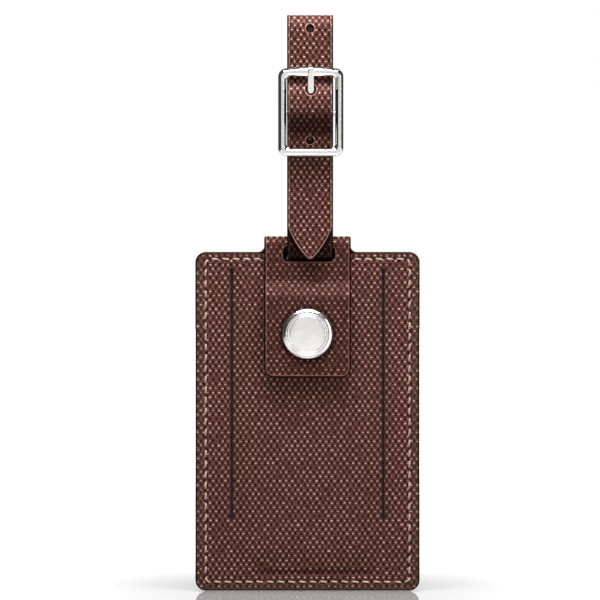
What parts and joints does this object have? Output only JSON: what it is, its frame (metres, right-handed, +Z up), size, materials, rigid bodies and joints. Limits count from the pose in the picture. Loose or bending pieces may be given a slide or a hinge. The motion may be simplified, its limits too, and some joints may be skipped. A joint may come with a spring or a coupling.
{
  "type": "luggage tag",
  "caption": "Leather luggage tag with a fold-over snap flap, a rear card pocket, and a buckled strap that links through the fold.",
  "frame": {"origin": "middle of the tag's bottom edge, inside the stiffener board's thickness", "axes": "+X to the wearer's right seen from the front, +Y to the rear (pocket side), +Z up along the tag towards the strap loop"},
  "size_m": [0.07, 0.0248, 0.1797],
  "materials": {
    "leather_brown": "embossed basket weave, semi-matt",
    "lining_brown": "smooth, matt",
    "thread_tan": "waxed thread",
    "board_grey": "pressed fibre board",
    "nickel": "polished",
    "steel_spring": "drawn wire",
    "clear_film": "glossy film",
    "card_stock": "uncoated card"
  },
  "bodies": {
    "strap": {"strap_leather": "leather_brown", "strap_lining": "lining_brown", "strap_stitching": "thread_tan"},
    "tag": {"front_panel": "leather_brown", "front_lining": "lining_brown", "stiffener_board": "board_grey", "back_panel": "leather_brown", "perimeter_stitching": "thread_tan", "pocket_spacer": "lining_brown", "clear_window": "clear_film", "pocket_frame": "leather_brown", "pocket_stitching": "thread_tan", "snap_stud": "nickel", "snap_post": "nickel"},
    "card": {"address_card": "card_stock"},
    "flap": {"snap_flap": "leather_brown", "flap_lining": "lining_brown", "snap_cap": "nickel", "snap_socket": "nickel", "socket_spring": "steel_spring"},
    "buckle": {"buckle_frame": "nickel", "buckle_bar": "nickel"},
    "prong": {"buckle_prong": "nickel"}
  },
  "joints": [
    {"name": "tag_swing", "type": "hinge", "parent": "strap", "child": "tag", "pos_m": [0, 0, 0.1078], "axis": [1, 0, 0], "range_deg": [-15, 80]},
    {"name": "flap_hinge", "type": "hinge", "parent": "tag", "child": "flap", "pos_m": [0, -0.00232, 0.098], "axis": [-1, 0, 0], "range_deg": [0, 95]},
    {"name": "card_slide", "type": "slide", "parent": "tag", "child": "card", "axis": [1, 0, 0], "range_m": [0, 0.06]},
    {"name": "buckle_rock", "type": "hinge", "parent": "strap", "child": "buckle", "pos_m": [0.001, -0.0054, 0.1488], "axis": [1, 0, 0], "range_deg": [-1.5, 1.5]},
    {"name": "prong_lift", "type": "hinge", "parent": "buckle", "child": "prong", "pos_m": [0.001, -0.0054, 0.1488], "axis": [1, 0, 0], "range_deg": [0, 2.5]}
  ]
}
